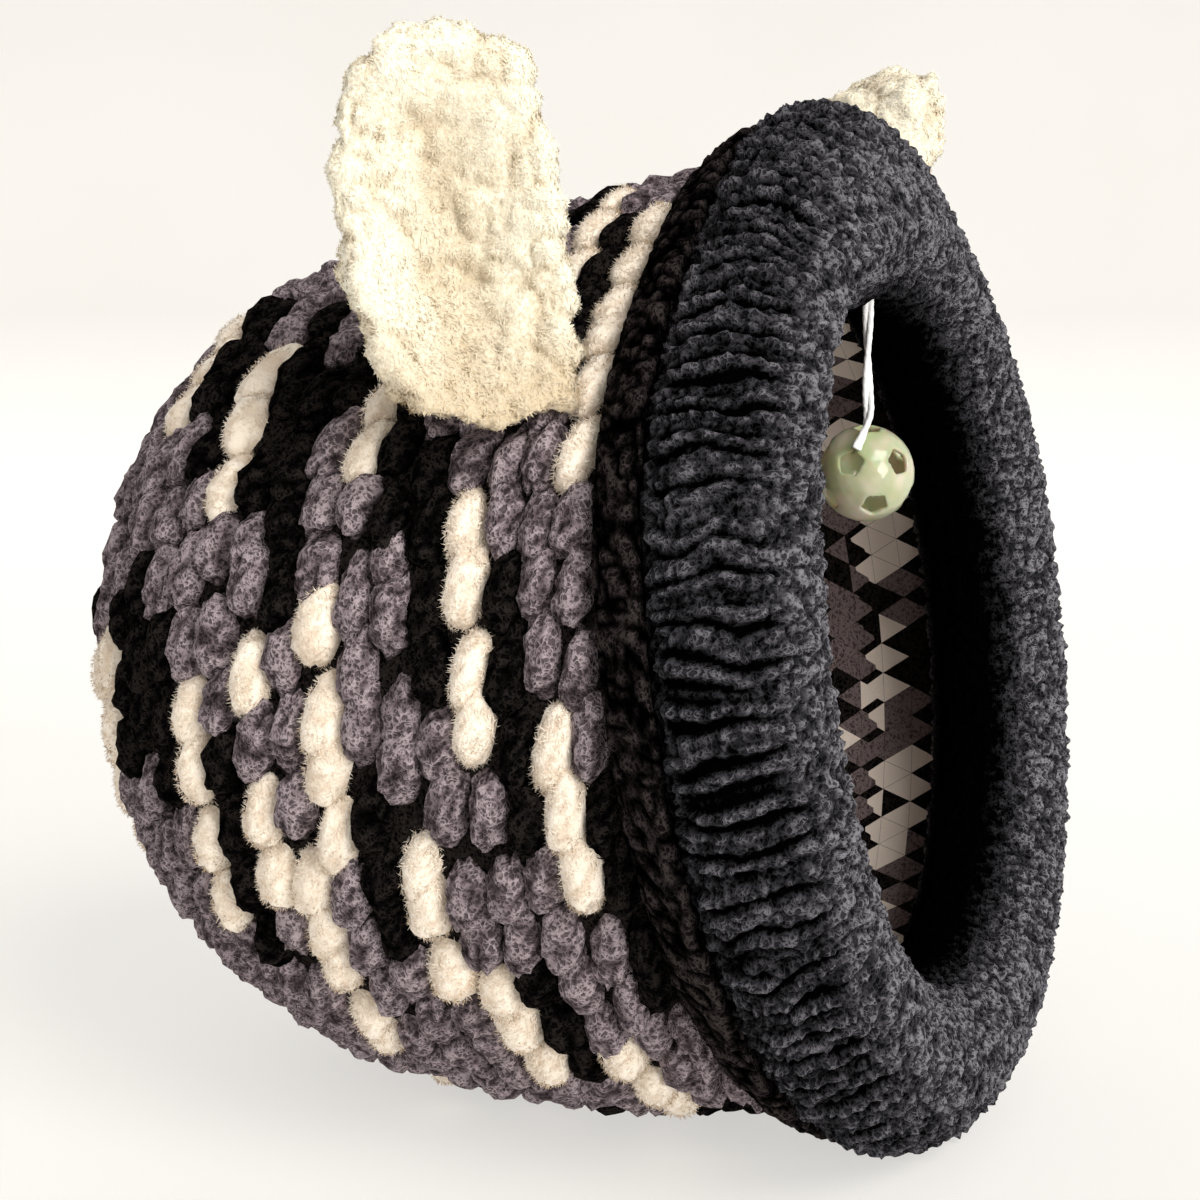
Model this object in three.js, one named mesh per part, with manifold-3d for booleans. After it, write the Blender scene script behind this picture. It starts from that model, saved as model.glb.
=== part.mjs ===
// A knitted cat cave: a chunky pouch lying on its side, a padded ring round its mouth, a collar band
// over the seam between the two, two plush ears, and a toy ball on a cord in the mouth.
// Millimetres, +Z up, the mouth towards -Y, the origin on the floor under the middle of the cave.

import * as THREE from "three";
import { mergeVertices } from "three/addons/utils/BufferGeometryUtils.js";
import Module from "manifold-3d";

const wasm = await Module();
wasm.setup();

const { clamp, degToRad, inverseLerp, lerp, smoothstep } = THREE.MathUtils;
const FULL_TURN = 2 * Math.PI;

// Driving dimensions of the whole cave
const GAP = 0.5; // between pieces that touch
const LEAN = degToRad(7.9); // the mouth tips back
const WIDTH_SHARE = 0.978; // width of every round over its height
const MOUTH_HEIGHT = 209.3; // middle of the mouth, with the ring pressed a little flat on the floor
const ROUND_SIDES = 48; // faces round the pouch and the collar

// The cave's top is drawn in at its shoulders; between them the ring has a slight crown and the pouch sags
const SHOULDER_DRAW = 12;
const SHOULDER_TURN = degToRad(36); // from the top to a shoulder
const CROWN = 3;
const CROWN_NARROWNESS = 8;
const SAG = 8;
const SAG_FROM = 30; // behind the ring's middle
const SAG_TO = 110;
const SHAPED_FROM = { radius: 150, behind: 260 }; // no change here
const SHAPED_TO = { radius: 205, behind: 120 }; // the full change

// The padded ring, with knit ridges across it that are deepest towards the collar
const RING_RADIUS = 177; // from the mouth's axis to the middle of the padding
const TUBE_RADIUS = 38;
const TUBE_BACK = 27; // the padding is squashed against the collar behind
const TUBE_SIDES = 12;
const TUBE_FIRST_SIDE = degToRad(27); // turns one edge to where the cord hangs
const RIDGES = 84;
const RIDGE_DEPTH = 3.2;
const RIDGE_SIDE = degToRad(65); // way round the tube at which the ridges are deepest
const RIDGE_FADE = 1.5; // how soon they fade away from there
const RIDGE_UNEVENNESS = 0.35; // share of the depth that comes and goes round the ring
const RIDGE_WAVER = 2.4; // radians of that coming and going for each point

// The pouch: a blunt dome of knit rounds behind the ring
const DOME_RADIUS = 200;
const DOME_START = 78; // behind the ring's middle, where the dome is widest
const DOME_DEPTH = 260; // from there to the back
const DOME_SQUARENESS = 2.55; // 2 would be an ellipse
const NECK_RADIUS = 185; // the pouch's edge, under the collar
const NECK_END = 42;
const NECK_WALL = 9;
const SHOULDER_STEP = 1; // along the axis, from the neck up to the first round
const SHOULDER_RADIUS = 196.5; // first round behind the collar
const WALL = 19;
const ROUNDS = 23;
const ROUND_DEPTH = 5; // of the grooves between rounds
const POLE_DEPTH_SHARE = 0.25; // of the radius, the most that a groove near the pole may take
const AXIS_LIFT = 0.02; // the dome's middle falls back a little less than the ring leans
const INSIDE_ROWS = 12;

// The collar band's section: behind the ring's middle, out from the mouth's axis
const COLLAR_FROM = degToRad(40); // way round the ring's tube where the band starts
const COLLAR_TO = degToRad(74);
const COLLAR_OUTSIDE = [
  { behind: 40, radius: 192 },
  { behind: 38.5, radius: 197 },
  { behind: 33, radius: 201.5 },
  { behind: 26, radius: 205 },
  { behind: 20, radius: 208 },
  { behind: 16.5, radius: 209 },
];

// An ear: a cupped petal, as rows from its lip to its tip
const EAR_THICKNESS = 27;
const EAR_COLUMNS = 10;
const EAR_END_FADE = 8; // its thickness fades over an eighth of its length at each end
const EAR_CURL = 0.85; // share of the hollow by which its edges come forward
const EAR_EDGE_TURN = 0.9; // how far its edges turn in with the hollow
const EAR_ROWS = [
  { up: 0.0, half: 20, hollow: 1, forward: 8 },
  { up: 0.04, half: 28, hollow: 6, forward: 7 },
  { up: 0.12, half: 33, hollow: 16, forward: 5 },
  { up: 0.24, half: 37, hollow: 27, forward: 2 },
  { up: 0.38, half: 39, hollow: 34, forward: 0 },
  { up: 0.54, half: 39, hollow: 31, forward: 0 },
  { up: 0.7, half: 38, hollow: 23, forward: 0 },
  { up: 0.83, half: 35, hollow: 14, forward: 0 },
  { up: 0.92, half: 30, hollow: 8, forward: 0 },
  { up: 0.97, half: 23, hollow: 3, forward: 0 },
  { up: 1.0, half: 13, hollow: 0, forward: 0 },
];
// Each ear's lip, tip and the way that its hollow faces
const EARS = [
  { name: "ear_left", lip: [-184, 88, 298], tip: [-173, 112, 438], faces: [-0.8, -0.6, 0] },
  { name: "ear_right", lip: [182, 84, 302], tip: [189, 43, 455], faces: [0.85, -0.53, 0] },
];

// The toy: a hollow ball with twelve five-sided holes, tied to a cord
const BALL_RADIUS = 20;
const BALL_WALL = 2.2;
const HOLE_RADIUS = 5.7;
const HOLE_SIDES = 5;
const HOLE_CUT = 11; // length of the cutter, more than the wall and its curve
const BALL_CENTRE = new THREE.Vector3(0, 4.5, 273);
const BALL_TURN = [168.9, -16.1, 58.0].map(degToRad);
const CORD_DIAMETER = 4.6;
const CORD_SIDES = 8;
const CORD_STEPS = 20;
// The cord's route, from the ring down over the ball's shoulder to the edge of a hole, from the ball's centre
const CORD_ROUTE = [
  { x: 0, y: 0, z: 78.4 },
  { x: 0, y: 0, z: 73 },
  { x: 0, y: 0, z: 67 },
  { x: 0, y: 0, z: 61 },
  { x: 0, y: 0, z: 54 },
  { x: -0.2, y: -0.1, z: 47 },
  { x: -0.7, y: -0.3, z: 41 },
  { x: -2, y: -0.9, z: 35.5 },
  { x: -4.2, y: -1.8, z: 30.6 },
  { x: -7.4, y: -3.1, z: 26.3 },
  { x: -11.2, y: -4, z: 22.4 },
  { x: -14.8, y: -4.1, z: 18.8 },
  { x: -17, y: -3.6, z: 16.3 },
  { x: -18.4, y: -3, z: 14.2 },
  { x: -19.2, y: -2.4, z: 12.6 },
  { x: -19.7, y: -1.9, z: 11 },
];

// Finishes
const finish = (color, roughness) => new THREE.MeshStandardMaterial({ color, roughness, metalness: 0 });
const POUCH_YARN = finish(0x5a5660, 0.95);
const RIM_YARN = finish(0x2d2d32, 0.95);
const EAR_PLUSH = finish(0xf3ecd2, 0.95);
const CORD_YARN = finish(0xf2f0ee, 0.8);
const BALL_PLASTIC = finish(0xcbd8b4, 0.3);

function shapedRadius(behind, radius, turn) {
  const fromTop = Math.abs(Math.atan2(Math.sin(turn), Math.cos(turn)));
  const shoulder = Math.sin((Math.PI / 2) * Math.min(2, fromTop / SHOULDER_TURN)) ** 2;
  const top = Math.max(0, Math.cos(turn)) ** CROWN_NARROWNESS;
  const rise = lerp(CROWN, -SAG, smoothstep(behind, SAG_FROM, SAG_TO));
  const outer = clamp(inverseLerp(SHAPED_FROM.radius, SHAPED_TO.radius, radius), 0, 1);
  const frontal = 1 - smoothstep(behind, SHAPED_TO.behind, SHAPED_FROM.behind);
  return radius + (rise * top - SHOULDER_DRAW * shoulder) * outer * frontal;
}

// A point of the cave: `behind` the ring's middle, `radius` out from the axis less a `groove`, `turn` round
// from the top. Where the radius reaches below `floor`, the cloth is pressed flat on it, grooves and all.
function cavePoint(behind, radius, turn, floor = 0, groove = 0) {
  const lift = AXIS_LIFT * Math.max(0, behind - TUBE_BACK);
  const axisHeight = MOUTH_HEIGHT + lift - behind * Math.sin(LEAN);
  const height = (out) => axisHeight + out * Math.cos(turn) * Math.cos(LEAN);
  const crest = shapedRadius(behind, radius, turn);
  const out = crest - groove;
  const x = WIDTH_SHARE * out * Math.sin(turn);
  const y = behind * Math.cos(LEAN) + out * Math.cos(turn) * Math.sin(LEAN);
  return new THREE.Vector3(x, y, height(crest) < floor ? floor : Math.max(height(out), floor));
}

function caveRound(behind, radius, floor = 0, groove = 0) {
  if (radius === 0) return [cavePoint(behind, 0, 0, floor)];
  const turns = Array.from({ length: ROUND_SIDES }, (_, i) => (FULL_TURN * i) / ROUND_SIDES);
  return turns.map((turn) => cavePoint(behind, radius, turn, floor, groove));
}

// A closed surface through rows of points. Each row runs round; a row of one point is a pole.
function skin(rows, wrapped) {
  const corners = rows.flat();
  const starts = [];
  rows.reduce((start, row) => {
    starts.push(start);
    return start + row.length;
  }, 0);
  const triangles = [];
  const bands = wrapped ? rows.length : rows.length - 1;
  for (let i = 0; i < bands; i++) {
    const j = (i + 1) % rows.length;
    const here = (k) => starts[i] + (k % rows[i].length);
    const next = (k) => starts[j] + (k % rows[j].length);
    const around = Math.max(rows[i].length, rows[j].length);
    for (let k = 0; around > 1 && k < around; k++) {
      if (rows[i].length > 1) triangles.push(here(k), here(k + 1), next(k));
      if (rows[j].length > 1) triangles.push(here(k + 1), next(k + 1), next(k));
    }
  }
  return new THREE.BufferGeometry().setFromPoints(corners).setIndex(triangles);
}

// A closed sheet between two grids of points that share their border
function sheetSolid(front, back) {
  const triangles = [];
  const columns = front[0].length;
  const offset = front.length * columns;
  for (let i = 0; i + 1 < front.length; i++) {
    for (let j = 0; j + 1 < columns; j++) {
      const a = i * columns + j;
      const [b, c, d] = [a + 1, a + columns, a + columns + 1];
      triangles.push(a, b, d, a, d, c);
      triangles.push(a + offset, d + offset, b + offset, a + offset, c + offset, d + offset);
    }
  }
  return new THREE.BufferGeometry().setFromPoints([...front.flat(), ...back.flat()]).setIndex(triangles);
}

function solidOf(geometry) {
  const bare = geometry.clone();
  bare.deleteAttribute("normal");
  bare.deleteAttribute("uv");
  const merged = mergeVertices(bare, 1e-4);
  const vertProperties = Float32Array.from(merged.attributes.position.array);
  const triVerts = Uint32Array.from(merged.index.array);
  return new wasm.Manifold(new wasm.Mesh({ numProp: 3, vertProperties, triVerts }));
}

function geometryOf(solid) {
  const { vertProperties, triVerts } = solid.getMesh();
  const geometry = new THREE.BufferGeometry();
  geometry.setAttribute("position", new THREE.BufferAttribute(Float32Array.from(vertProperties), 3));
  return geometry.setIndex(Array.from(triVerts));
}

// How far a point of the ring is drawn in: every other point is, unevenly, on the collar's side of the tube
function ridgeDepth(point, side) {
  const strength = Math.max(0, Math.cos(side - RIDGE_SIDE)) ** RIDGE_FADE;
  const uneven = 1 - RIDGE_UNEVENNESS + RIDGE_UNEVENNESS * Math.sin(RIDGE_WAVER * point);
  return point % 2 ? RIDGE_DEPTH * strength * uneven : 0;
}

// The ring's section at a way round its tube: 0 is outermost, a quarter turn is at the back
function ringSection(side, plump) {
  const depth = Math.sin(side) > 0 ? TUBE_BACK : TUBE_RADIUS;
  const radius = RING_RADIUS + plump * TUBE_RADIUS * Math.cos(side);
  return { behind: plump * depth * Math.sin(side), radius };
}

function ringGeometry(swell) {
  const rows = [];
  for (let i = 0; i < TUBE_SIDES; i++) {
    const side = TUBE_FIRST_SIDE + (FULL_TURN * i) / TUBE_SIDES;
    const row = [];
    for (let point = 0; point < 2 * RIDGES; point++) {
      const plump = 1 + (swell - ridgeDepth(point, side)) / TUBE_RADIUS;
      const { behind, radius } = ringSection(side, plump);
      row.push(cavePoint(behind, radius, (FULL_TURN * point) / (2 * RIDGES)));
    }
    rows.push(row);
  }
  return skin(rows, true);
}

// The dome's meridian, as points of (behind, radius) evenly spaced along it, grown by `swell`
function domeMeridian(count, swell) {
  const arc = [];
  const fine = 400;
  const radius = DOME_RADIUS + swell;
  arc.push(new THREE.Vector2(NECK_END, SHOULDER_RADIUS + swell));
  for (let i = 0; i <= fine; i++) {
    const angle = (Math.PI / 2) * (i / fine);
    const out = i === fine ? 0 : Math.cos(angle) ** (2 / DOME_SQUARENESS);
    const along = Math.sin(angle) ** (2 / DOME_SQUARENESS);
    arc.push(new THREE.Vector2(DOME_START + along * (DOME_DEPTH + swell), radius * out));
  }
  const path = new THREE.CurvePath();
  for (let i = 0; i + 1 < arc.length; i++) path.add(new THREE.LineCurve(arc[i], arc[i + 1]));
  return path.getSpacedPoints(count);
}

// The pouch's outside, from its front edge to the back pole: a neck, then rounds with grooves between
function pouchOutside() {
  const front = TUBE_BACK + GAP;
  const rows = [front, NECK_END - SHOULDER_STEP].map((behind) => caveRound(behind, NECK_RADIUS));
  const steps = 2 * ROUNDS;
  domeMeridian(steps, 0).forEach((place, i) => {
    const groove = i % 2 ? 0 : Math.min(ROUND_DEPTH, POLE_DEPTH_SHARE * place.y);
    rows.push(caveRound(place.x, i === steps ? 0 : place.y, 0, groove));
  });
  return rows;
}

// The filled dome over the crests of the rounds, which the ears are cut to sit on
function pouchEnvelope() {
  const crests = domeMeridian(2 * ROUNDS, GAP).filter((_, i) => i % 2);
  const rows = crests.map((place) => caveRound(place.x, place.y));
  rows.unshift([cavePoint(TUBE_BACK, 0, 0)], caveRound(TUBE_BACK, SHOULDER_RADIUS + GAP));
  rows.push([cavePoint(DOME_START + DOME_DEPTH, 0, 0)]);
  return solidOf(skin(rows, false));
}

function pouchInside() {
  const rows = domeMeridian(INSIDE_ROWS, -WALL).map((place, i) =>
    caveRound(place.x, i === INSIDE_ROWS ? 0 : place.y, WALL),
  );
  rows.unshift(caveRound(TUBE_BACK + GAP, NECK_RADIUS - NECK_WALL, WALL));
  return rows.reverse();
}

// The collar band lies over the seam: its inside follows the ring and the pouch's neck
function collarGeometry(swell) {
  const section = [];
  const hugging = 4;
  for (let i = 0; i <= hugging; i++) {
    section.push(ringSection(lerp(COLLAR_FROM, COLLAR_TO, i / hugging), 1 + GAP / TUBE_BACK));
  }
  section.push({ behind: COLLAR_OUTSIDE[0].behind, radius: NECK_RADIUS + GAP });
  COLLAR_OUTSIDE.forEach(({ behind, radius }) => section.push({ behind, radius: radius + swell }));
  section.reverse();
  return skin(section.map(({ behind, radius }) => caveRound(behind, radius)), true);
}

// One cupped petal between its lip and its tip, cut to sit on what it touches
function earGeometry({ lip, tip, faces }, seats) {
  const foot = new THREE.Vector3(...lip);
  const rise = new THREE.Vector3(...tip).sub(foot);
  const up = rise.clone().normalize();
  const ahead = new THREE.Vector3(...faces).projectOnPlane(up).normalize();
  const across = new THREE.Vector3().crossVectors(up, ahead);
  const frontward = -Math.sign(across.y);
  const front = [];
  const back = [];
  for (const row of EAR_ROWS) {
    const rowFront = [];
    const rowBack = [];
    for (let j = 0; j <= EAR_COLUMNS; j++) {
      const u = Math.sin(Math.PI * (j / EAR_COLUMNS - 0.5));
      const ends = Math.sqrt(Math.min(1, EAR_END_FADE * row.up, EAR_END_FADE * (1 - row.up)));
      const edges = j % EAR_COLUMNS ? Math.sqrt(1 - u ** 4) : 0;
      const plump = (EAR_THICKNESS / 2) * ends * edges;
      const middle = foot.clone().addScaledVector(rise, row.up);
      middle.addScaledVector(across, row.half * u + frontward * row.forward);
      middle.addScaledVector(ahead, -row.hollow * (1 - EAR_CURL * u * u));
      const turnIn = (EAR_EDGE_TURN * u * row.hollow) / row.half;
      const out = ahead.clone().addScaledVector(across, -turnIn).normalize();
      rowFront.push(middle.clone().addScaledVector(out, plump));
      rowBack.push(middle.clone().addScaledVector(out, -plump));
    }
    front.push(rowFront);
    back.push(rowBack);
  }
  const petal = solidOf(sheetSolid(front, back));
  return geometryOf(seats.reduce((piece, seat) => piece.subtract(seat), petal));
}

// The ball: a shell with a five-sided hole towards each corner of an icosahedron
function ballGeometry() {
  const golden = (1 + Math.sqrt(5)) / 2;
  const corners = [];
  for (const one of [-1, 1]) {
    for (const long of [-golden, golden]) {
      corners.push(new THREE.Vector3(one, long, 0), new THREE.Vector3(0, one, long));
      corners.push(new THREE.Vector3(long, 0, one));
    }
  }
  corners.forEach((corner) => corner.normalize());
  let ball = solidOf(new THREE.IcosahedronGeometry(BALL_RADIUS, 4));
  ball = ball.subtract(solidOf(new THREE.IcosahedronGeometry(BALL_RADIUS - BALL_WALL, 2)));
  for (const corner of corners) {
    const neighbour = corners.find((other) => Math.abs(other.dot(corner) - 1 / Math.sqrt(5)) < 1e-6);
    const along = neighbour.clone().projectOnPlane(corner).normalize();
    const side = new THREE.Vector3().crossVectors(corner, along);
    const prism = new THREE.CylinderGeometry(HOLE_RADIUS, HOLE_RADIUS, HOLE_CUT, HOLE_SIDES);
    prism.applyMatrix4(new THREE.Matrix4().makeBasis(side, corner, along));
    prism.translate(...corner.clone().multiplyScalar(BALL_RADIUS - BALL_WALL / 2).toArray());
    ball = ball.subtract(solidOf(prism));
  }
  return geometryOf(ball);
}

function cordGeometry() {
  const route = CORD_ROUTE.map(({ x, y, z }) => new THREE.Vector3(x, y, z).add(BALL_CENTRE));
  const section = new THREE.Shape();
  section.absarc(0, 0, CORD_DIAMETER / 2, 0, FULL_TURN);
  return new THREE.ExtrudeGeometry(section, {
    curveSegments: CORD_SIDES / 2,
    steps: CORD_STEPS,
    extrudePath: new THREE.CatmullRomCurve3(route),
  });
}

function addPiece(parent, name, geometry, material) {
  const piece = new THREE.Mesh(geometry, material);
  piece.name = name;
  parent.add(piece);
  return piece;
}

const cave = new THREE.Group();
addPiece(cave, "rim_ring", ringGeometry(0), RIM_YARN);
addPiece(cave, "collar_band", collarGeometry(0), RIM_YARN);
addPiece(cave, "body_shell", skin([...pouchOutside(), ...pouchInside()], true), POUCH_YARN);

const seats = [pouchEnvelope(), solidOf(ringGeometry(2 * GAP)), solidOf(collarGeometry(GAP))];
for (const ear of EARS) {
  addPiece(cave, ear.name, earGeometry(ear, seats), EAR_PLUSH);
}

const toy = new THREE.Group();
addPiece(toy, "toy_cord", cordGeometry(), CORD_YARN);
const ball = addPiece(toy, "toy_ball", ballGeometry(), BALL_PLASTIC);
ball.position.copy(BALL_CENTRE);
ball.rotation.set(...BALL_TURN);
cave.add(toy);

const middle = new THREE.Box3().setFromObject(cave).getCenter(new THREE.Vector3());
cave.position.set(-middle.x, -middle.y, 0);

export default cave;
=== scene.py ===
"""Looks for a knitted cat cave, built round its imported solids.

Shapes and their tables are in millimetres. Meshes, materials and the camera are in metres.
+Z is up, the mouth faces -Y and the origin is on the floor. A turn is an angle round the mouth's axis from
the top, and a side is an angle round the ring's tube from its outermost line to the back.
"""

import math

import bpy
import numpy as np
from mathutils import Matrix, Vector


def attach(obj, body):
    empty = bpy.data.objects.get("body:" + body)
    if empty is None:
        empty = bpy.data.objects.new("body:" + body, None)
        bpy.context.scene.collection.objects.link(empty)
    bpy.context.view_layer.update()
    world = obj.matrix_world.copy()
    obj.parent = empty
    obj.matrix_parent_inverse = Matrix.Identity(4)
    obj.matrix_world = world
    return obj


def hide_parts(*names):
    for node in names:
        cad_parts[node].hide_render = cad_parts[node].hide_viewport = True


MM = 0.001
FULL_TURN = 2 * math.pi
TINY = 1e-9  # keeps a divisor from being nought

# Noise: how its cells are scrambled, and a seed for each use
CELL_MIX = np.array([374761393, 668265263, 974634541])
SEED_MIX = 362437
LAST_MIX = 1274126177
MIX_SHIFTS = (13, 15)
MIX_MASK = 0x7FFFFFFF
VALUE_MASK = 0xFFFF
SEEDS = {
    "curls": 1, "lumps": 2, "wander": 3, "waver": 4, "gather_depth": 5,
    "rim_loops": 6, "collar_loops": 8, "ear_clumps": 10,
}

# The cave's frame, as in the part's source
LEAN = math.radians(7.9)
WIDTH_SHARE = 0.978
MOUTH_HEIGHT = 209.3
MIDDLE_Y = 138.53  # from the ring's middle back to the origin
AXIS_LIFT = 0.02

# The top is drawn in at its shoulders; between them the ring has a slight crown and the pouch sags
SHOULDER_DRAW = 12
SHOULDER_TURN = math.radians(36)
CROWN = 3
CROWN_NARROWNESS = 8
SAG = 8
SAG_PLACES = (30, 110)  # behind the ring's middle
SHAPED_RADII = (150, 205)  # between which this sets in
SHAPED_PLACES = (120, 260)  # behind the ring's middle, where it fades out

# The padded ring
RING_RADIUS = 177
TUBE_RADIUS = 38
TUBE_BACK = 27  # its depth behind its middle, where the padding is squashed
RIM_TURNS = 1000
RIM_SHOWN_SIDES = 86
RIM_HIDDEN_SIDES = 12
RIM_SHOWN = (math.radians(-210), math.radians(52))  # sides that aren't under the collar
RIM_DRAW = 0.6  # its cloth lies this far inside the solid, to leave room for its loops
RIM_LOOP = 3.6
RIM_LOOP_HEIGHT = 3.8
LOOP_MIDDLE = 0.5  # share of a loop's height at the cloth's mean level
FULLER_SIDE = math.radians(-140)
FULLER_ABOVE_CORD = 10
FULLER_TURNS = (0.8, 1)  # cosines of the turns between which it becomes fuller
FULLER_SIDES = (0.5, 1)  # and of the sides, from the fullest one

# The ring's gathers and the seam before its collar
GATHERS = 124
FINE_GATHERS = 206
GATHER_SHARES = (0.55, 0.45)  # of the relief, for the wide and the fine ones
GATHER_DEPTH = 6
GATHER_SIDE = math.radians(10)  # at which they are deepest
GATHER_FADE = (-0.1, 0.8)  # cosines from that side, at which they are shallowest and deepest
GATHER_LEAST = 0.1
GATHER_WANDER = 1.8
WANDER_SIZE = 26
FINE_WANDER = 1.5  # times as far, for the fine ones
WAVER = 0.9
WAVER_SIZE = 12
GATHER_MEAN = 0.9
GATHER_STRAY = 0.3
GATHER_STRAY_SIZE = 34
SEAM_SIDE = math.radians(40)  # where the collar starts, with a groove before it
SEAM_WIDTH = math.radians(9)
SEAM_DEPTH = 2

# The ring's painted shade: how much each place takes away from its tone
RIM_LEAST_TONE = 0.2
RIM_LIT = (0.0, 0.5)  # heights of the loops at which they are darkest and lightest
CREASE_PAINTED_SHADE = 0.95
CREASE_DEPTHS = (0.2, 0.7)  # between which a crease darkens
GATHERED_PAINTED_SHADE = 0.25
SEAM_PAINTED_SHADE = 0.8
INNER_SIDE = math.radians(-190)  # towards the inside, where painted shade makes it nearly black
INNER_FADE = (0.45, 0.95)  # cosines from that side, between which it darkens
INNER_PAINTED_SHADE = 0.95

# The collar band behind the ring
COLLAR_TURNS = 640
COLLAR_LOOP = 5
COLLAR_LOOP_HEIGHT = 3
COLLAR_LOOPED = (190, 200)  # radii between which its loops rise
COLLAR_LIT = (0.0, 0.6)
COLLAR_FINE = 3  # points to each side of its section
COLLAR_SECTION = [  # behind the ring's middle, and radius
    (17, 203), (18, 207), (22, 207.5), (27, 205), (33, 202), (38, 198), (40, 192), (36, 188), (26, 188),
    (20, 196),
]

# The pouch's dome and its wall
DOME_RADIUS = 200
DOME_START = 78
DOME_DEPTH = 260
DOME_SQUARENESS = 2.55
DOME_STEPS = 1200
NECK = 24  # before the dome's first distance
NECK_END = 42
SHOULDER_RADIUS = 196.5
WALL = 19
WALL_START = -21  # along the dome, inside the ring
WALL_STOP = 2  # short of the pole
WALL_OUTSIDE = 9.0  # depth of its outer face, under the stitches
WALL_INSIDE = WALL - 1.5  # depth of its inner face
WALL_TURNS = 96
WALL_ROWS = 60  # on each face

# Its rounds of stitches
ROUNDS = 23  # after the first, which is numbered -1 and tucked against the collar
FIRST_ROUND = 19.5  # along the dome, to the middle of round 0
FIRST_PITCH = 14.1
PITCH_GROWTH = 0.27
SETTLED_ROUND = 8  # from which the rounds lie evenly apart
ROUND_TILT = 22  # the rounds stand more upright than the ring leans
TILT_ROUNDS = 5  # over which they come upright
UPPER_SHIFT = 8  # further back on the upper half
UPPER_ENDS = (math.radians(62), math.radians(92))
UPPER_ROUNDS = (1, 4)  # over which they are shifted more and more
POLE_ROUNDS = 6  # over which they level out again round the pole
STITCH_LENGTH = 27.5
POLE_STITCHES = 4
STITCH_VARIES = (0.94, 1.08)  # least and most, of the usual length and width
TURN_STRAY = 0.02
SLANT_STRAY = 0.06
LIFT_STRAY = 0.7

# One stitch: a plump slanting lobe, fatter at the end that laps over the next
LOBE_RINGS = 16
LOBE_SHOWN_SIDES = 12
LOBE_HIDDEN_SIDES = 2
LOBE_SHOWN = (-8, 188)  # degrees round it, over its top
LOBE_SQUARENESS = 2.3
LOBE_LAP = 1.24  # its length over the stitch's share of the round
LOBE_WIDTH = 1.1  # its width over the round's pitch
LOBE_HEIGHT = 12.5
LOBE_BELOW = 0.3  # its depth under its middle over its height
LOBE_SINK = -12.7  # its middle below the pouch's surface
LOBE_EGG = 0.08  # how much fatter it is at its end
LOBE_RAKE = 1.0  # how much higher that end is than its middle
LOBE_SLANT = 0.22
LOBE_LIT = (-0.15, 0.6)  # heights on the unit lobe at which its painted shade is darkest and lightest, darker towards its underside
LOBE_LEAST_TONE = 0.2

# The curls of its yarn, and the fuzz on cream yarn
CURL_SIZE = 4.2
CURL_DEPTHS = {"grey": 3.2, "black": 3.2, "cream": 2}
CURL_MIDDLE = 0.4  # share of a curl's height that is at the lobe's own level
# curl heights between which the painted shade in the pits lightens to the curls' tops
CURL_LIT = (-0.1, 0.4)
CURL_SPREAD = 1000  # how far apart the stitches are in the noise of their curls
LUMP_SIZE = 2.4 * CURL_SIZE
LUMP_SHARE = 0.3
FUZZ_FIBRES = 800  # on each cream stitch
FUZZ = {"length": 2.1, "raised": 1.4, "half_width": 0.32, "tones": (0.2, 1)}
FUZZ_ALONG = 0.98  # share of the stitch's length that has fuzz
FUZZ_BELOW = 0.35  # angle below its edges that has fuzz
FUZZ_INNER = 0.9  # size of the smaller lobe that its outward directions start from
FIBRE_LENGTHS = (0.6, 1.2)  # least and most, of the usual length
FIBRE_RAISES = (0.5, 1.3)

# The purl side: diamonds of yarn, each in two halves, with shares and lengths of its colours' runs
INSIDE_RUNS = {"grey": (0.4, 1, 4), "black": (0.32, 1, 2), "cream": (0.28, 1, 3)}
INSIDE_YARNS = {"grey": "inside_grey", "black": "black_yarn", "cream": "inside_cream"}
FIRST_DIAMOND = -3  # along the dome, to its middle
BARE_DIAMONDS = 3  # rounds of them left out at the pole
DIAMOND_PITCH = 12.5
DIAMOND_HEIGHT = 14.5
DIAMOND_DEPTH = WALL - 1.2
DIAMOND_PUFF = 0.4
DIAMOND_PEAK = 0.4  # place of a half's highest point, as a share of its reach
DIAMOND_GAP = 0.2
HALVES_GAP = 0.3 * DIAMOND_GAP
STRAYED_HALVES = 0.3  # share of the halves towards the pole that take their neighbour's colour

# Yarn that isn't grey and shows on the near side: round, and degrees down from the top
YARN_CHART = {
    "black": [
        (-1, 97, 131), (0, 17, 54), (1, 73, 104), (2, 4, 20), (2, 120, 143), (3, 59, 88), (4, 48, 70),
        (4, 75, 80), (5, 95, 124), (6, 36, 50), (7, 46, 82), (8, 32, 64), (9, 90, 126), (10, 24, 58),
        (11, 24, 46), (11, 73, 106), (12, 71, 100), (13, 72, 96),
    ],
    "cream": [
        (-1, 21, 63), (0, 90, 115), (1, 8, 44), (1, 133, 156), (2, 69, 99), (3, 124, 147),
        (4, 100, 129), (5, 46, 68), (6, 80, 109), (7, 105, 142), (8, 84, 91), (8, 96, 114), (9, 37, 69),
        (10, 87, 118), (12, 22, 44), (14, 80, 96),
    ],
}
CHARTED_ROUNDS = 15
CHARTED_DEGREES = (4, 156)
# How the yarn's colours change where it doesn't show: share of the runs, and stitches in a run
YARN_RUNS = {"grey": (0.42, 4, 10), "black": (0.34, 4, 9), "cream": (0.24, 3, 5)}

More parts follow.
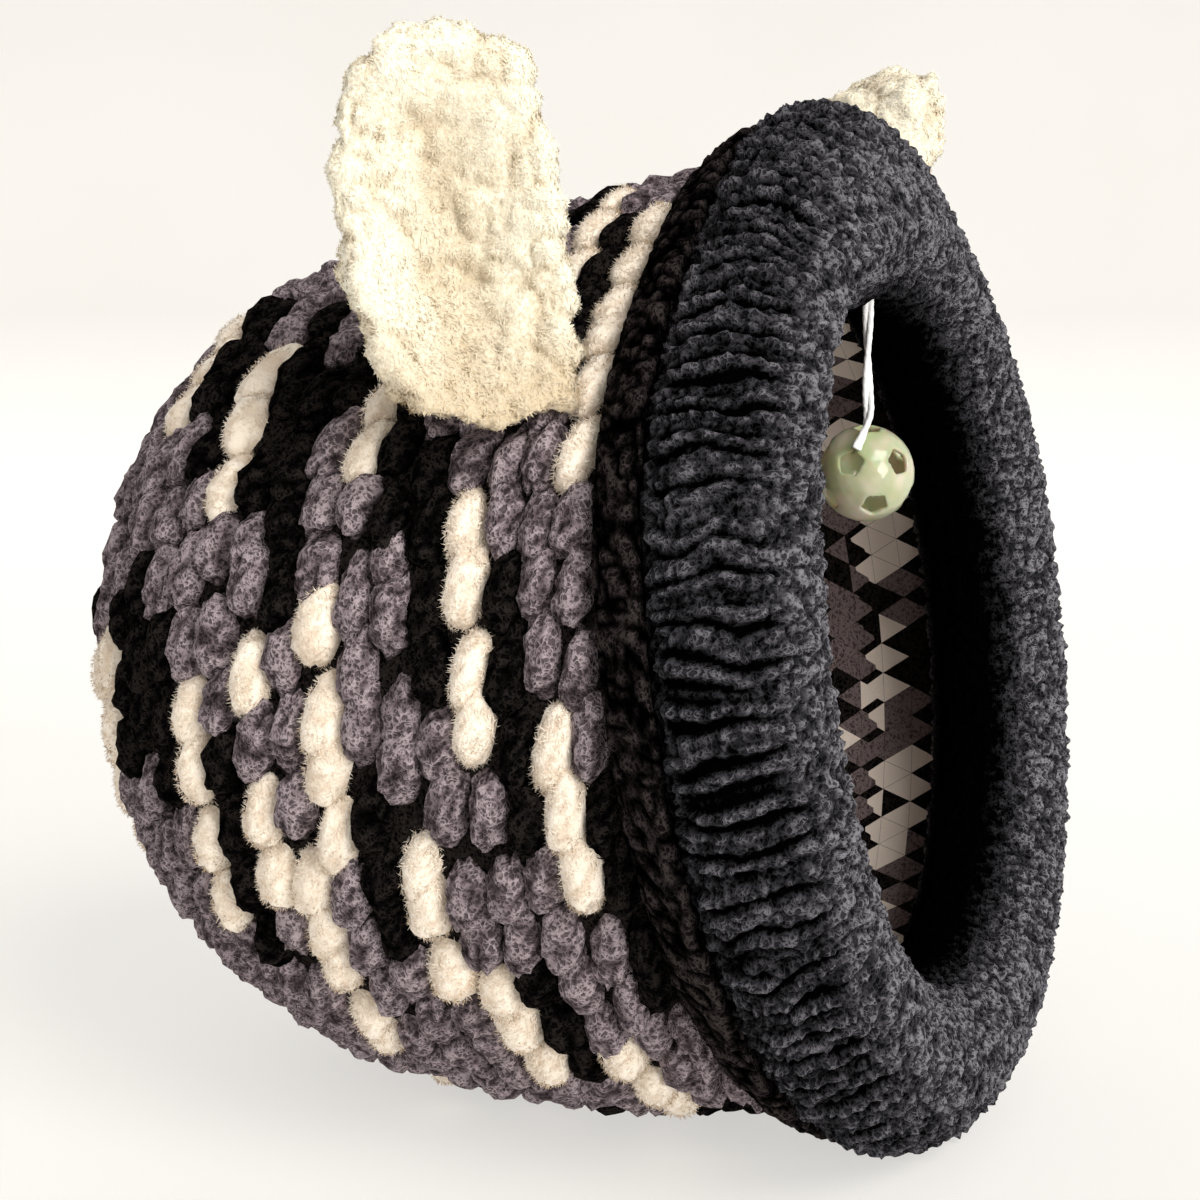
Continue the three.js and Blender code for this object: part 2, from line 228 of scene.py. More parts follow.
# The ears: cupped petals, as rows from lip to tip
EAR_THICKNESS = 27
EAR_CURL = 0.85
EAR_EDGE_TURN = 0.9
EAR_END_FADE = 8
EAR_LIP_ROUND = 0.05  # share of its height over which its lip is rounded
EAR_LEAST_HALF = 20  # where half its width is less, its edges turn as if it were this
EAR_RINGS = 130
EAR_COLUMNS = 60
EAR_RING_ENDS = (0.02, 0.98)  # of the half circle that spaces its loops, closer at its lip and tip
EAR_ROWS = [  # share of its height, half its width, depth of its hollow, and how far forward
    (0.0, 20, 1, 8),
    (0.04, 28, 6, 7),
    (0.12, 33, 16, 5),
    (0.24, 37, 27, 2),
    (0.38, 39, 34, 0),
    (0.54, 39, 31, 0),
    (0.7, 38, 23, 0),
    (0.83, 35, 14, 0),
    (0.92, 30, 8, 0),
    (0.97, 23, 3, 0),
    (1.0, 13, 0, 0),
]
EARS = [
    {"name": "ear_left", "lip": (-184, 88, 298), "tip": (-173, 112, 438), "faces": (-0.8, -0.6, 0)},
    {"name": "ear_right", "lip": (182, 84, 302), "tip": (189, 43, 455), "faces": (0.85, -0.53, 0)},
]

# The ears' clumps, fibres and painted shade
EAR_CLUMPS = {17: 4.5, 9: 5, 4: 2.2}  # their height by their size
CLUMP_MIDDLE = 0.4  # share of a clump's height that is at the pile's own level
EAR_PILE = 0.5  # how far the pile stands out from the solid
EAR_FIBRES = 34000
EAR_FUZZ = {"length": 2.2, "raised": 0.7, "half_width": 0.42, "tones": (0.7, 1)}
EAR_LIT = (-6, 0.5)  # heights of the clumps at which their painted shade is darkest and lightest
EAR_END_TONES = [0.5, 1]  # tones at the middle of its lip, darker with painted shade, and of its tip
# painted shade towards the lip and in the cup's hollow
LIP_LIT = (0.1, 0.45)  # shares of its height
LIP_LEAST_TONE = 0.1
CUP_STARTS = (0.15, 0.35)
CUP_ENDS = (0.6, 0.85)
CUP_MIDDLE = 0.5  # share of the way across its front
CUP_WIDTH = 0.2
CUP_PAINTED_SHADE = 0.6

# The toy
BALL_CENTRE = np.array([0, 4.5 - MIDDLE_Y, 273])
BALL_VOXEL = 0.0007
BALL_SMOOTHING = 0.5
BALL_SMOOTHINGS = 5
CORD_STEPS = 110
CORD_SIDES = 10
CORD_ASIDE = (0.2, 0.97, 0.1)  # a direction that the cord never takes
CORD_TWIST = 70  # length in which its strands go once round each other
STRAND_RADIUS = 1.25
STRAND_APART = 1.05  # from the cord's middle to a strand's
PLIES = 3
PLY_DEPTH = 0.06
PLY_WAVES = 14  # along one turn of the strands
KNOT_STEPS = 12  # points between two knots of its route
CORD_ROUTE = [  # from the ball's middle
    (0, 0, 78.4), (0, 0, 73), (0, 0, 67), (0, 0, 61),
    (0, 0, 54), (-0.2, -0.1, 47), (-0.7, -0.3, 41), (-2, -0.9, 35.5),
    (-4.2, -1.8, 30.6), (-7.4, -3.1, 26.3), (-11.2, -4, 22.4), (-14.8, -4.1, 18.8),
    (-17, -3.6, 16.3), (-18.4, -3, 14.2), (-19.2, -2.4, 12.6), (-19.7, -1.9, 11),
]

# Yarns: screen colours from dark to light, the darkest being painted shade for their pits, then the size and
# relief of their curls or fibres in metres
CURLY_YARNS = {
    "grey_yarn": ([(36, 30, 32), (106, 94, 98), (166, 152, 157)], 0.0028, 0.001),
    "black_yarn": ([(1, 1, 1), (14, 12, 12), (38, 34, 32)], 0.003, 0.0012),
    "inside_grey": ([(52, 45, 45), (100, 87, 87), (130, 116, 115)], 0.0026, 0.0004),
    "rim_knit": ([(2, 2, 2), (66, 65, 69), (126, 125, 131)], 0.003, 0.0012),
    "collar_knit": ([(1, 1, 1), (26, 22, 22), (58, 52, 51)], 0.003, 0.0012),
}
CURLY_STOPS = (0.05, 0.45, 1.0)  # places of the colours on their ramp
STRAND_WIDTH = 0.14  # of a curl's strand, as a share of the noise it follows
STRAND_SHIFTS = (0, 40)  # apart in the noise, in sizes of a curl
# how much of the tone is painted shade between the curls
CURLS_IN_TONE = 0.7
FUZZY_YARNS = {
    "cream_yarn": ([(220, 198, 172), (250, 238, 221)], 0.0012, 0.001),
    # the purl side's cream: a lighter copy of the cream yarn, painted light for the cave's dim inside
    "inside_cream": ([(240, 214, 196), (255, 240, 226)], 0.0012, 0.0004),
    "ear_plush": ([(204, 183, 148), (249, 242, 222)], 0.0013, 0.0008),
    "cord_yarn": ([(226, 224, 224), (252, 252, 252)], 0.0006, 0.0004),
}
FUZZY_STOPS = (0.1, 0.7)
# share of the tone from the fibres; the rest is painted shade from the pits of the cloth
FIBRES_IN_TONE = 0.4
FIBRE_RELIEF = 0.8

# Plastic and paper: places and screen colours of their clouds, whose sizes and relief are in metres
PLASTIC_CLOUDS = [(0.35, (204, 216, 168)), (0.65, (242, 234, 212))]
PLASTIC_CLOUD_SIZE = 0.012
PLASTIC_GRAIN_SIZE = 0.0006
PLASTIC_RELIEF = {"strength": 0.1, "distance": 0.0002}
PAPER_CLOUDS = [(0.3, (172, 170, 166)), (0.7, (175, 173, 170))]
PAPER_CLOUD_SIZE = 0.5
PAPER_GLOW = (250, 248, 244)
PAPER_GLOW_RISE = {"From Max": 0.35, "To Min": 0.61, "To Max": 0.3}  # by height over the floor

# The floor, which bends up into a backdrop
FLOOR_HALF_WIDTH = 4000
FLOOR_FRONT = -3000
FLOOR_BACK = 2400
FLOOR_BEND = 900
FLOOR_BEND_STEPS = 24
BACKDROP_TOP = 5000

# Camera and lights
CAMERA_AZIMUTH = math.radians(-66.15)
CAMERA_ELEVATION = math.radians(7.0)
CAMERA_DISTANCE = 0.9938
CAMERA_TARGET = Vector((0, -0.01442, 0.2145))
CAMERA_LENS = 68.44
CAMERA_SENSOR = 36
SUN_COLOUR = (255, 252, 248)
SUNS = {
    "key": {"way": (0.35, 0.65, -0.65), "strength": 1.7, "spread": 30},
    "fill": {"way": (0.85, -0.35, -0.5), "strength": 0.4, "spread": 70},
    "mouth": {"way": (0.55, 0.85, -0.2), "strength": 1.7, "spread": 25},
}
ROOM_COLOUR = (252, 250, 248)
ROOM_STRENGTH = 0.4


def srgb(red, green, blue):
    """Linear colour from 0 to 255 screen values."""
    shares = (value / 255 for value in (red, green, blue))
    return tuple(s / 12.92 if s <= 0.04045 else ((s + 0.055) / 1.055) ** 2.4 for s in shares) + (1.0,)


def ramp(low, high, value):
    """0 up to the low value, 1 from the high one on, and even between them."""
    return np.clip((value - low) / (high - low), 0, 1)


def smoothstep(low, high, value):
    t = ramp(low, high, value)
    return t * t * (3 - 2 * t)


def at_least(least, share):
    """A share from 0 to 1, brought to between the least and 1."""
    return least + (1 - least) * share


def uneven_ways(shown, whole, shown_count, hidden_count):
    """Angles all the way round: many between the two ends of what is shown, and few where it is hidden."""
    first, last = shown
    hidden = np.linspace(last, first + whole, hidden_count + 2)[1:-1]
    return np.append(np.linspace(first, last, shown_count), hidden)


def unit_length(vectors):
    return vectors / np.linalg.norm(vectors, axis=-1, keepdims=True)


def lattice_noise(points, size, seed):
    """Smooth noise from -1 to 1, in cells of that size."""
    place = points / size
    low = np.floor(place).astype(np.int64)
    share = place - low
    share = share * share * (3 - 2 * share)
    first_shift, last_shift = MIX_SHIFTS
    total = np.zeros(points.shape[:-1])
    for corner in np.ndindex(2, 2, 2):
        mixed = ((low + np.array(corner)) * CELL_MIX).sum(-1)
        mixed = (mixed + seed * SEED_MIX) & MIX_MASK
        mixed = ((mixed ^ (mixed >> first_shift)) * LAST_MIX) & MIX_MASK
        value = ((mixed ^ (mixed >> last_shift)) & VALUE_MASK) / (VALUE_MASK / 2) - 1
        total += value * np.prod(np.where(corner, share, 1 - share), axis=-1)
    return total


def billow(points, size, seed):
    """Round lumps with creases between them, about 0 to 1."""
    return np.abs(lattice_noise(points, size, seed))


def shaped_radius(behind, radius, turn):
    """The radius, drawn in at the shoulders, raised at the crown and lowered where the pouch sags."""
    from_top = np.abs(np.arctan2(np.sin(turn), np.cos(turn)))
    shoulder = np.sin(math.pi / 2 * np.minimum(2, from_top / SHOULDER_TURN)) ** 2
    top = np.maximum(0, np.cos(turn)) ** CROWN_NARROWNESS
    rise = CROWN - (CROWN + SAG) * smoothstep(*SAG_PLACES, behind)
    outer = ramp(*SHAPED_RADII, radius)
    frontal = 1 - smoothstep(*SHAPED_PLACES, behind)
    return radius + (rise * top - SHOULDER_DRAW * shoulder) * outer * frontal


def cave(behind, radius, turn):
    """Points of the cave: behind the ring's middle, out from the axis and round from the top."""
    radius = shaped_radius(behind, radius, turn)
    up = radius * np.cos(turn)
    lift = AXIS_LIFT * np.maximum(0, behind - TUBE_BACK)
    x = WIDTH_SHARE * radius * np.sin(turn)
    y = behind * math.cos(LEAN) + up * math.sin(LEAN) - MIDDLE_Y
    z = MOUTH_HEIGHT + lift - behind * math.sin(LEAN) + up * math.cos(LEAN)
    return np.stack(np.broadcast_arrays(x, y, np.maximum(z, 0)), -1)


def meridian():
    """The dome's meridian, as distance along it, place behind the ring and radius, and on past the pole."""
    angle = np.linspace(0, math.pi / 2, DOME_STEPS)
    behind = DOME_START + DOME_DEPTH * np.sin(angle) ** (2 / DOME_SQUARENESS)
    radius = DOME_RADIUS * np.cos(angle).clip(0) ** (2 / DOME_SQUARENESS)
    behind = np.concatenate([[NECK_END - NECK, NECK_END], behind])
    radius = np.concatenate([[SHOULDER_RADIUS, SHOULDER_RADIUS], radius])
    arc = np.concatenate([[0], np.cumsum(np.hypot(np.diff(behind), np.diff(radius)))]) - NECK
    past = 2 * arc[-1] - arc[-2::-1]
    return np.append(arc, past), np.append(behind, behind[-2::-1]), np.append(radius, -radius[-2::-1])


ARC, BEHIND, RADIUS = meridian()
DOME_ARC = ARC[len(ARC) // 2]
SETTLED_ARC = FIRST_ROUND + FIRST_PITCH * SETTLED_ROUND + PITCH_GROWTH * SETTLED_ROUND**2
PITCH = (DOME_ARC - SETTLED_ARC) / (ROUNDS - 0.5 - SETTLED_ROUND)  # the last round ends at the pole


def dome(arc, turn, rise):
    """Points `rise` above the pouch's surface, at a distance along its meridian and a turn round it."""
    run = np.interp(arc + 1, ARC, BEHIND) - np.interp(arc - 1, ARC, BEHIND)
    fall = np.interp(arc + 1, ARC, RADIUS) - np.interp(arc - 1, ARC, RADIUS)
    length = np.hypot(run, fall) + TINY
    behind = np.interp(arc, ARC, BEHIND) - rise * fall / length
    radius = np.interp(arc, ARC, RADIUS) + rise * run / length
    return cave(behind, radius, turn)


def round_level(number):
    """How freely a round may tilt and shift: 1 away from the pole and 0 at it."""
    return np.clip((ROUNDS - 1 - number) / POLE_ROUNDS, 0, 1)


def round_middle(number):
    """Mean distance along the meridian of a round; they lie closer together near the mouth."""
    early = np.minimum(number, SETTLED_ROUND)
    late = np.maximum(0, number - SETTLED_ROUND)
    return FIRST_ROUND + FIRST_PITCH * early + PITCH_GROWTH * early**2 + PITCH * late


def round_arc(number, turn):
    """Distance along the meridian of the middle of a round."""
    tilt = ROUND_TILT * ramp(0, TILT_ROUNDS, number) * round_level(number)
    back = UPPER_SHIFT * ramp(*UPPER_ROUNDS, number) * round_level(number)
    upper = 1 - smoothstep(*UPPER_ENDS, np.abs(turn))
    return round_middle(number) - tilt * np.cos(turn) + back * upper


def build_piece(name, points, faces, material, body="cave", tone=None, normals=None):
    """A smooth mesh piece from points in millimetres and faces that are all triangles or all quads.

    `tone` is painted shade, 0 in its pits and 1 on its tops, and `normals` shade thin fibres like the cloth
    they stand on.
    """
    corners = faces.shape[1]
    mesh = bpy.data.meshes.new(name)
    mesh.vertices.add(len(points))
    mesh.vertices.foreach_set("co", (points * MM).astype(np.float32).ravel())
    mesh.loops.add(faces.size)
    mesh.loops.foreach_set("vertex_index", faces.astype(np.int32).ravel())
    mesh.polygons.add(len(faces))
    mesh.polygons.foreach_set("loop_start", np.arange(0, faces.size, corners, dtype=np.int32))
    mesh.update(calc_edges=True)
    mesh.validate()
    shade_smooth(mesh)
    shade = mesh.attributes.new("tone", "FLOAT", "POINT")
    shade.data.foreach_set("value", np.ones(len(points)) if tone is None else tone.ravel())
    if normals is not None:
        mesh.normals_split_custom_set_from_vertices(normals.tolist())
    mesh.materials.append(material)
    piece = add_object(name, mesh)
    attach(piece, body)
    return piece


def shade_smooth(mesh):
    mesh.polygons.foreach_set("use_smooth", np.ones(len(mesh.polygons), dtype=bool))


def add_object(name, data):
    """An object in the scene with that mesh, camera or light."""
    made = bpy.data.objects.new(name, data)
    bpy.context.scene.collection.objects.link(made)
    return made


def outward(points, triangles):
    """The triangles, turned so that the closed bodies they make have their faces outward."""
    a, b, c = (points[triangles[:, i]] for i in range(3))
    volume = np.einsum("ij,ij->", a - points.mean(0), np.cross(b - points.mean(0), c - points.mean(0)))
    return triangles if volume > 0 else triangles[:, ::-1]


def wrapped_quads(rows, columns):
    """Quads of a grid whose rows and columns both close on themselves."""
    i, j = np.meshgrid(np.arange(rows), np.arange(columns), indexing="ij")
    down = (i + 1) % rows
    across = (j + 1) % columns
    corners = [i * columns + j, i * columns + across, down * columns + across, down * columns + j]
    return np.stack(corners, -1).reshape(-1, 4)


def capped(rings):
    """Points and triangles of a stack of loops, closed at both ends with a point each."""
    rows, columns = rings.shape[:2]
    points = np.vstack([rings.reshape(-1, 3), rings[0].mean(0), rings[-1].mean(0)])
    j = np.arange(columns)
    k = (j + 1) % columns
    triangles = []
    for i in range(rows - 1):
        here, there = i * columns, (i + 1) * columns
        triangles.append(np.stack([here + j, here + k, there + j], -1))
        triangles.append(np.stack([here + k, there + k, there + j], -1))
    first, last = rows * columns, rows * columns + 1
    triangles.append(np.stack([np.full(columns, first), k, j], -1))
    end = (rows - 1) * columns
    triangles.append(np.stack([np.full(columns, last), end + j, end + k], -1))
    return points, np.vstack(triangles)


def repeated(triangles, copies, stride):
    """One body's triangles, repeated for copies that each have that many points."""
    return (triangles[None] + stride * np.arange(copies)[:, None, None]).reshape(-1, triangles.shape[1])


def ring_normals(rings):
    """Outward directions at points of closed loops."""
    along = np.gradient(rings, axis=0)
    round_loop = np.roll(rings, -1, axis=1) - np.roll(rings, 1, axis=1)
    normal = np.cross(along, round_loop)
    normal /= np.linalg.norm(normal, axis=-1, keepdims=True) + TINY
    away = ((rings - rings.mean(axis=1, keepdims=True)) * normal).sum()
    return normal if away > 0 else -normal


def scatter(rings, normal, count, random):
    """Points at random on loops of points, the directions outward there and the numbers of the points."""
    across = np.roll(rings, -1, axis=1) - rings
    along = np.gradient(rings, axis=0)
    area = np.linalg.norm(np.cross(across, along), axis=-1)
    chosen = random.choice(area.size, count, p=(area / area.sum()).ravel())
    slide = random.uniform(0, 1, (count, 2))
    place = rings.reshape(-1, 3)[chosen]
    place = place + slide[:, :1] * across.reshape(-1, 3)[chosen] + slide[:, 1:] * along.reshape(-1, 3)[chosen]
    return place, normal.reshape(-1, 3)[chosen], chosen


def build_fibres(name, base, normals, tone, look, material, random):
    """Flat pointed fibres that lie every way along the cloth with raised tips, and are shaded like it."""
    way = random.normal(0, 1, base.shape)
    way = unit_length(way - normals * (way * normals).sum(-1, keepdims=True))
    reach = look["length"] * random.uniform(*FIBRE_LENGTHS, (len(base), 1))
    lift = look["raised"] * random.uniform(*FIBRE_RAISES, (len(base), 1))
    tip = base + reach * way + lift * normals
    tone = tone * random.uniform(*look["tones"], len(base))
    aside = np.cross(normals, tip - base)
    aside *= look["half_width"] / np.linalg.norm(aside, axis=-1, keepdims=True)
    points = np.stack([base - aside, tip, base + aside], 1).reshape(-1, 3)
    points[:, 2] = np.maximum(points[:, 2], 0)  # none below the floor
    faces = np.arange(len(points)).reshape(-1, 3)
    along = np.repeat(normals, 3, axis=0)
    return build_piece(name, points, faces, material, tone=np.repeat(tone, 3), normals=along)


def node(tree, kind, inputs=None, **settings):
    """A shader node with its settings, and its inputs as plain values or as links."""
    made = tree.nodes.new(kind)
    for name, value in settings.items():
        setattr(made, name, value)
    for name, value in (inputs or {}).items():
        if isinstance(value, bpy.types.NodeSocket):
            tree.links.new(value, made.inputs[name])
        else:
            made.inputs[name].default_value = value
    return made


def math_node(tree, operation, *values):
    return node(tree, "ShaderNodeMath", dict(enumerate(values)), operation=operation).outputs[0]


def ramp_node(tree, factor, stops):
    """Colours blended by a factor; stops are places and screen colours."""
    made = node(tree, "ShaderNodeValToRGB", {"Fac": factor})
    elements = made.color_ramp.elements
    while len(elements) < len(stops):
        elements.new(0.5)
    for element, (place, colour) in zip(elements, stops):
        element.position = place
        element.color = srgb(*colour)
    return made.outputs["Color"]


def noise_node(tree, place, size, detail=2.0):
    made = node(tree, "ShaderNodeTexNoise", {"Vector": place, "Scale": 1 / size, "Detail": detail})
    return made.outputs["Fac"]


def new_material(name, sockets):
    """A material with those values, its nodes, its shader and the place on its object."""
    material = bpy.data.materials.new(name)
    material.use_nodes = True
    tree = material.node_tree
    shader = tree.nodes["Principled BSDF"]
    for socket, value in sockets.items():
        shader.inputs[socket].default_value = value
    return material, tree, shader, node(tree, "ShaderNodeTexCoord").outputs["Object"]


def add_relief(tree, shader, height, strength, distance):
    relief = node(tree, "ShaderNodeBump", {"Height": height, "Strength": strength, "Distance": distance})
    tree.links.new(relief.outputs["Normal"], shader.inputs["Normal"])


def painted_shade_tone(tree):
    """The piece's painted shade, 0 in the pits of its cloth."""
    return node(tree, "ShaderNodeAttribute", attribute_name="tone").outputs["Fac"]


def curl_height(tree, place, size):
    """Strands of yarn that curl over each other, 1 on their tops and 0 between them."""
    strands = []
    for shift in STRAND_SHIFTS:
        moved = node(tree, "ShaderNodeVectorMath", {0: place, 1: (shift * size,) * 3}, operation="ADD")
        field = noise_node(tree, moved.outputs[0], size, 1.0)
        off = math_node(tree, "ABSOLUTE", math_node(tree, "SUBTRACT", field, 0.5))
        reach = {"Value": off, "From Max": STRAND_WIDTH, "To Min": 1.0, "To Max": 0.0}
        strand = node(tree, "ShaderNodeMapRange", reach, interpolation_type="SMOOTHSTEP")
        strands.append(strand.outputs["Result"])
    return math_node(tree, "MAXIMUM", *strands)


def curly_yarn(name, tones, size, bump):
    """Yarn with tight curls and painted shade: a little lighter on the curls, dark in the pits of its cloth.
    """
    sockets = {"Roughness": 1.0, "Specular IOR Level": 0.0}
    material, tree, shader, place = new_material(name, sockets)
    height = curl_height(tree, place, size)
    curls = math_node(tree, "MULTIPLY_ADD", height, CURLS_IN_TONE, 1 - CURLS_IN_TONE)
    tone = math_node(tree, "MULTIPLY", painted_shade_tone(tree), curls)
    colour = ramp_node(tree, tone, list(zip(CURLY_STOPS, tones)))
    tree.links.new(colour, shader.inputs["Base Color"])
    add_relief(tree, shader, height, 1.0, bump)
    return material


def fuzzy_yarn(name, tones, size, bump):
    """Soft brushed yarn: fine fibres that vary at random, and painted shade in the pits of its cloth."""
    sockets = {"Roughness": 1.0, "Sheen Weight": 0.3, "Sheen Roughness": 0.5, "Specular IOR Level": 0.1}
    material, tree, shader, place = new_material(name, sockets)
    height = noise_node(tree, place, size, 3.0)
    pits = math_node(tree, "MULTIPLY", painted_shade_tone(tree), 1 - FIBRES_IN_TONE)
    tone = math_node(tree, "MULTIPLY_ADD", height, FIBRES_IN_TONE, pits)
    colour = ramp_node(tree, tone, list(zip(FUZZY_STOPS, tones)))
    tree.links.new(colour, shader.inputs["Base Color"])
    add_relief(tree, shader, height, FIBRE_RELIEF, bump)
    return material


def ball_plastic():
    """Thin milky green plastic that lets light through."""
    sockets = {
        "Roughness": 0.3,
        "Transmission Weight": 0.4,
        "Subsurface Weight": 0.6,
        "Subsurface Scale": 0.004,
        "IOR": 1.4,
        "Coat Weight": 0.5,
    }
    material, tree, shader, place = new_material("ball_plastic", sockets)
    cloud = noise_node(tree, place, PLASTIC_CLOUD_SIZE)
    tree.links.new(ramp_node(tree, cloud, PLASTIC_CLOUDS), shader.inputs["Base Color"])
    grain = noise_node(tree, place, PLASTIC_GRAIN_SIZE, 1.0)
    add_relief(tree, shader, grain, **PLASTIC_RELIEF)
    return material


def floor_paper():
    """White paper that glows a little, as if lit from all round, and more so on the floor."""
    sockets = {"Roughness": 0.8, "Emission Color": srgb(*PAPER_GLOW)}
    material, tree, shader, place = new_material("floor", sockets)
    cloud = noise_node(tree, place, PAPER_CLOUD_SIZE)
    tree.links.new(ramp_node(tree, cloud, PAPER_CLOUDS), shader.inputs["Base Color"])
    height = node(tree, "ShaderNodeSeparateXYZ", {"Vector": place}).outputs["Z"]
    glow = node(tree, "ShaderNodeMapRange", {"Value": height, **PAPER_GLOW_RISE}).outputs["Result"]
    tree.links.new(glow, shader.inputs["Emission Strength"])
    return material


def yarn_materials():
    """Every yarn's material by its name."""
    curly = {name: curly_yarn(name, *look) for name, look in CURLY_YARNS.items()}
    fuzzy = {name: fuzzy_yarn(name, *look) for name, look in FUZZY_YARNS.items()}
    return curly | fuzzy


def hidden_yarn(random, count, runs):
    """Colours of that many stitches in a row, in runs."""
    names = list(runs)
    shares = np.array([runs[name][0] for name in names])
    colours = []
    last = None
    while len(colours) < count:
        name = random.choice(names, p=shares / shares.sum())
        if name == last:
            continue
        _, fewest, most = runs[name]
        colours += [name] * random.integers(fewest, most + 1)
        last = name
    return colours[:count]


def charted_yarn(number, degrees, otherwise):
    """The yarn's colour where it shows, by the chart, or else the one given."""
    first, last = CHARTED_DEGREES
    if number >= CHARTED_ROUNDS or not first <= degrees <= last:
        return otherwise
    for name, marks in YARN_CHART.items():
        if any(charted == number and start <= degrees <= end for charted, start, end in marks):
            return name
    return "grey"


def lay_stitches(random):
    """Every stitch of the pouch: its round, turn, the round's radius, length, width, skew, lift and yarn."""
    stitches = []
    for number in range(-1, ROUNDS):
        radius = np.interp(round_middle(number), ARC, RADIUS)
        count = max(POLE_STITCHES, round(FULL_TURN * radius / STITCH_LENGTH))
        colours = hidden_yarn(random, count, YARN_RUNS)
        start = random.uniform(0, 1)
        for i in range(count):
            turn = FULL_TURN * (i + start) / count
            turn = (turn + math.pi) % FULL_TURN - math.pi
            step = round_arc(number + 0.5, turn) - round_arc(number - 0.5, turn)
            stitches.append(
                {
                    "round": number,
                    "turn": turn + random.normal(0, TURN_STRAY),
                    "radius": radius,
                    "length": LOBE_LAP * FULL_TURN * radius / count * random.uniform(*STITCH_VARIES),
                    "width": LOBE_WIDTH * step * random.uniform(*STITCH_VARIES),
                    "skew": random.normal(LOBE_SLANT, SLANT_STRAY),
                    "lift": random.normal(0, LIFT_STRAY),
                    "yarn": charted_yarn(number, -math.degrees(turn), colours[i]),
                }
            )
    return stitches


def lobe_outline(angle):
    """Places along a unit lobe and its reach out from its middle there, by angle from its fat end."""
    power = 2 / LOBE_SQUARENESS
    along = np.sign(np.cos(angle)) * np.abs(np.cos(angle)) ** power
    return along, np.sin(angle) ** power


def lobe_template():
    """A unit lobe's points (along, across, up) and triangles, finer on the part that shows."""
    along, out = lobe_outline(math.pi * np.arange(1, LOBE_RINGS) / LOBE_RINGS)
    way = np.radians(uneven_ways(LOBE_SHOWN, 360, LOBE_SHOWN_SIDES, LOBE_HIDDEN_SIDES))
    rings = np.broadcast_arrays(-along[:, None], np.outer(out, np.cos(way)), np.outer(out, np.sin(way)))
    return capped(np.stack(rings, -1))


def place_lobes(stitches, unit, swell):
    """Points of every stitch's lobe; `unit` is on the unit lobe and `swell` scales it."""
    column = {key: np.array([s[key] for s in stitches])[:, None] for key in stitches[0] if key != "yarn"}
    along, across, up = (unit[..., i] for i in range(3))
    up = np.where(up < 0, LOBE_BELOW * up, up)
    fat = 1 + LOBE_EGG * along
    u = swell * column["length"] / 2 * along
    v = swell * column["width"] / 2 * across * fat
    rise = LOBE_SINK + column["lift"] + swell * LOBE_HEIGHT * up * fat + LOBE_RAKE * along
    u, v = u - column["skew"] * v, v + column["skew"] * u
    turn = column["turn"] - u / column["radius"]
    return dome(round_arc(column["round"], turn) + v, turn, rise)


def build_stitches(yarn, stitches, material, random):
    """All the stitches of one yarn as one mesh, rough with its curls."""
    unit, triangles = lobe_template()
    size = np.array([STITCH_LENGTH / 2, PITCH / 2, LOBE_HEIGHT])
    places = unit * size + CURL_SPREAD * random.uniform(0, 1, (len(stitches), 1, 3))
    curls = billow(places, CURL_SIZE, SEEDS["curls"])
    rough = curls - CURL_MIDDLE + LUMP_SHARE * lattice_noise(places, LUMP_SIZE, SEEDS["lumps"])
    points = place_lobes(stitches, unit[None], 1 + CURL_DEPTHS[yarn] * rough / LOBE_HEIGHT)
    faces = repeated(outward(points[0], triangles), len(stitches), len(unit))
    # painted shade: dark between the curls and towards each lobe's underside
    tone = smoothstep(*CURL_LIT, curls)
    tone = tone * at_least(LOBE_LEAST_TONE, smoothstep(*LOBE_LIT, unit[None, :, 2]))
    points = points.reshape(-1, 3)
    return build_piece(f"stitches_{yarn}", points, faces, material, tone=tone)


def build_cream_fuzz(stitches, material, random):
    """Short dense fibres that lie on the cream stitches."""
    shape = (len(stitches), FUZZ_FIBRES)
    angle = np.arccos(random.uniform(-FUZZ_ALONG, FUZZ_ALONG, shape))
    way = random.uniform(-FUZZ_BELOW, math.pi + FUZZ_BELOW, shape)
    along, out = lobe_outline(angle)
    unit = np.stack([along, out * np.cos(way), out * np.sin(way)], -1)
    base = place_lobes(stitches, unit, 1.0).reshape(-1, 3)
    normals = unit_length(base - place_lobes(stitches, unit, FUZZ_INNER).reshape(-1, 3))
    return build_fibres("cream_fuzz", base, normals, 1, FUZZ, material, random)


def build_pouch_wall(material):
    """The wall behind the stitches, from inside the ring round to the pole and back inside."""
    outside = np.linspace(WALL_START, DOME_ARC - WALL_STOP, WALL_ROWS)
    inside = np.linspace(DOME_ARC - WALL_STOP, WALL_START, WALL_ROWS)
    turn = -FULL_TURN * np.arange(WALL_TURNS) / WALL_TURNS
    rows = [dome(arc, turn, -WALL_OUTSIDE) for arc in outside]
    rows += [dome(arc, turn, -WALL_INSIDE) for arc in inside]
    points = np.stack(rows)
    points[WALL_ROWS:, :, 2] = np.maximum(points[WALL_ROWS:, :, 2], WALL_INSIDE)
    faces = wrapped_quads(len(rows), WALL_TURNS)
    return build_piece("pouch_wall", points.reshape(-1, 3), faces, material)


def diamond_halves(random):
    """Halves of the purl side's diamonds, by yarn: arc, turn, half the height as a turn, and way."""
    halves = {name: [] for name in INSIDE_RUNS}
    rounds = int((DOME_ARC - BARE_DIAMONDS * DIAMOND_PITCH) / DIAMOND_PITCH)
    for number in range(rounds):
        arc = FIRST_DIAMOND + number * DIAMOND_PITCH
        radius = np.interp(arc, ARC, RADIUS) - WALL
        count = round(FULL_TURN * radius / DIAMOND_HEIGHT)
        colours = hidden_yarn(random, count, INSIDE_RUNS)
        for i in range(count):
            turn = FULL_TURN * (i + 0.5 * (number % 2)) / count
            for way in (-1, 1):
                strayed = way > 0 and random.uniform() < STRAYED_HALVES
                yarn = colours[i - strayed]
                halves[yarn].append((arc, turn, math.pi / count, way))
    return halves


